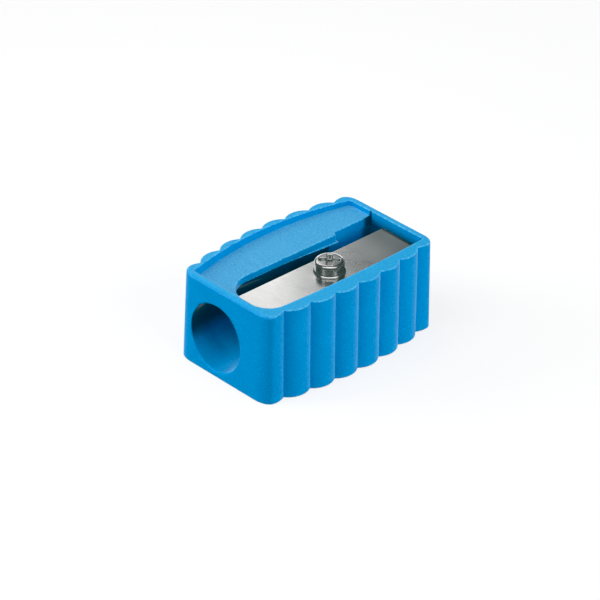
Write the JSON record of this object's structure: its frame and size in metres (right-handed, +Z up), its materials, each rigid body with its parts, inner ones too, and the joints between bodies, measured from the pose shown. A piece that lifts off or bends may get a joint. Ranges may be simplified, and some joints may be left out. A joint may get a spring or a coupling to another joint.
{
  "type": "block pencil sharpener",
  "caption": "Small hand-held block pencil sharpener: moulded plastic housing with bowed, scalloped sides, a flat steel blade and a screw that holds it.",
  "frame": {"origin": "centre of the base, on the surface the sharpener stands on", "axes": "+X along the housing, away from the pencil hole; +Y towards the thin rim, across the blade towards its cutting edge; +Z up"},
  "size_m": [0.0264, 0.0176, 0.0112],
  "materials": {
    "housing_plastic": "fine moulded texture, satin",
    "blade_steel": "ground along the blade, satin",
    "screw_plating": "bright nickel plating"
  },
  "bodies": {
    "housing": {"housing": "housing_plastic"},
    "blade": {"blade": "blade_steel"},
    "blade_screw": {"blade_screw": "screw_plating"}
  },
  "joints": [
    {"name": "blade_lift", "type": "slide", "parent": "housing", "child": "blade", "axis": [-0.0297, 0.0008, 0.9996], "range_m": [0, 0.004]},
    {"name": "screw_turn", "type": "hinge", "parent": "blade", "child": "blade_screw", "pos_m": [0.0011, -0.00215, 0.00913], "axis": [-0.0297, 0.0008, 0.9996], "range_deg": [0, 3600]}
  ],
  "couplings": [
    {"joint": "screw_turn", "follows": "blade_lift", "rad_per_m": 15708}
  ]
}
